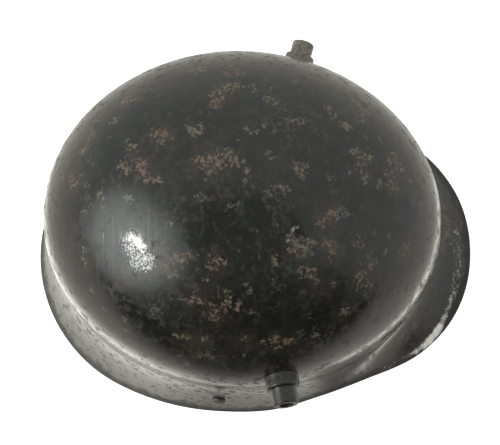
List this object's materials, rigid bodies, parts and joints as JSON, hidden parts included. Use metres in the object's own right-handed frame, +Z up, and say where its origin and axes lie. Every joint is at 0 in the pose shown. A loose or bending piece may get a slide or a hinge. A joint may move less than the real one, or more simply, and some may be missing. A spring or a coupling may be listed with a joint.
{
  "type": "trench helmet",
  "caption": "Deep pressed-steel trench helmet with a peaked visor, flared neck guard, rolled rim and stepped side vent lugs.",
  "frame": {"origin": "on the surface that the rim rests on, under the middle of the helmet's box", "axes": "+Z up, -Y towards the visor, +Y towards the neck guard, +X towards the wearer's left"},
  "size_m": [0.2398, 0.3119, 0.1718],
  "materials": {
    "shell_paint": "semi-gloss dark olive-grey paint, chipped, scratched and rust-stained",
    "lug_paint": "worn dark brown-grey paint over steel",
    "rivet_steel": "worn paint over steel, rust at the edge"
  },
  "bodies": {
    "root": {"shell": "shell_paint", "vent_lug_left": "lug_paint", "vent_lug_right": "lug_paint", "strap_rivet_left": "rivet_steel", "strap_rivet_right": "rivet_steel"}
  },
  "joints": []
}
